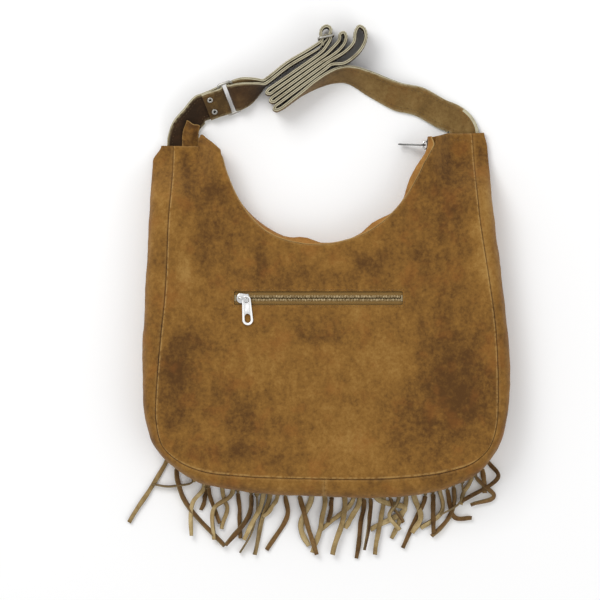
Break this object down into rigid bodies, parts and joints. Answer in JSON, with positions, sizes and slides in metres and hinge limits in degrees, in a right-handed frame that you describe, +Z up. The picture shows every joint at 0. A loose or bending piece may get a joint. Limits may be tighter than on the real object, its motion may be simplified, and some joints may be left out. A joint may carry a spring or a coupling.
{
  "type": "fringed suede shoulder bag",
  "caption": "Suede shoulder bag lying on its fringed front, with a round zipped mouth between two strap tabs, a zipped back pocket and a folded adjustable strap.",
  "frame": {"origin": "on the floor, below the middle of the whole thing's box, strap and fringe included", "axes": "+X across the bag, +Y from the fringe towards the strap, +Z up from the floor it lies on, out of the back panel"},
  "size_m": [0.4051, 0.5626, 0.044],
  "materials": {
    "suede": "brushed suede, mottled camel brown",
    "facing": "orange-brown suede",
    "fringe": "suede strips with pale flesh side",
    "strap": "olive-brown suede with pale raw edges",
    "tape": "woven zip tape",
    "teeth": "tan moulded teeth",
    "lining": "thin cotton lining",
    "nickel": "bright nickel plate",
    "dark_metal": "darkened metal"
  },
  "bodies": {
    "bag": {"back_panel": "suede", "front_panel": "suede", "gusset_left": "suede", "gusset_right": "suede", "zip_end_tab": "suede", "facing_back": "facing", "facing_front": "facing", "fringe": "fringe", "strap_short": "strap", "strap_long": "strap", "mouth_tape_back": "tape", "mouth_tape_front": "tape", "pocket_tape_upper": "tape", "pocket_tape_lower": "tape", "mouth_teeth_back": "teeth", "mouth_teeth_front": "teeth", "pocket_teeth_upper": "teeth", "pocket_teeth_lower": "teeth", "pocket_bag": "lining", "lining_back": "lining", "lining_front": "lining", "mouth_stop_left": "nickel", "mouth_stop_right": "nickel", "pocket_stop_left": "nickel", "pocket_stop_right": "nickel", "rivet_upper": "nickel", "rivet_lower": "nickel", "adjuster": "nickel"},
    "pocket_slider": {"pocket_slider": "nickel"},
    "pocket_pull": {"pocket_pull": "nickel"},
    "mouth_slider": {"mouth_slider": "dark_metal"},
    "mouth_pull": {"mouth_pull": "nickel"},
    "ring": {"ring": "nickel"}
  },
  "joints": [
    {"name": "pocket_slider_run", "type": "slide", "parent": "bag", "child": "pocket_slider", "axis": [1, 0, 0], "range_m": [0, 0.158]},
    {"name": "pocket_pull_turn", "type": "hinge", "parent": "pocket_slider", "child": "pocket_pull", "pos_m": [-0.0758, -0.006, 0.03585], "axis": [0, 0, 1], "range_deg": [-45, 215]},
    {"name": "mouth_slider_run", "type": "hinge", "parent": "bag", "child": "mouth_slider", "pos_m": [0.0058, 0.1601, 0.017], "axis": [0, 0, 1], "range_deg": [-167.5, 0]},
    {"name": "mouth_pull_swing", "type": "hinge", "parent": "mouth_slider", "child": "mouth_pull", "pos_m": [0.11039, 0.15535, 0.017], "axis": [0.0454, 0.999, 0], "range_deg": [-30, 75]},
    {"name": "ring_swivel", "type": "hinge", "parent": "bag", "child": "ring", "pos_m": [-0.10071, 0.20239, 0.0136], "axis": [0.3193, -0.8232, -0.4695], "range_deg": [-6, 6]}
  ]
}
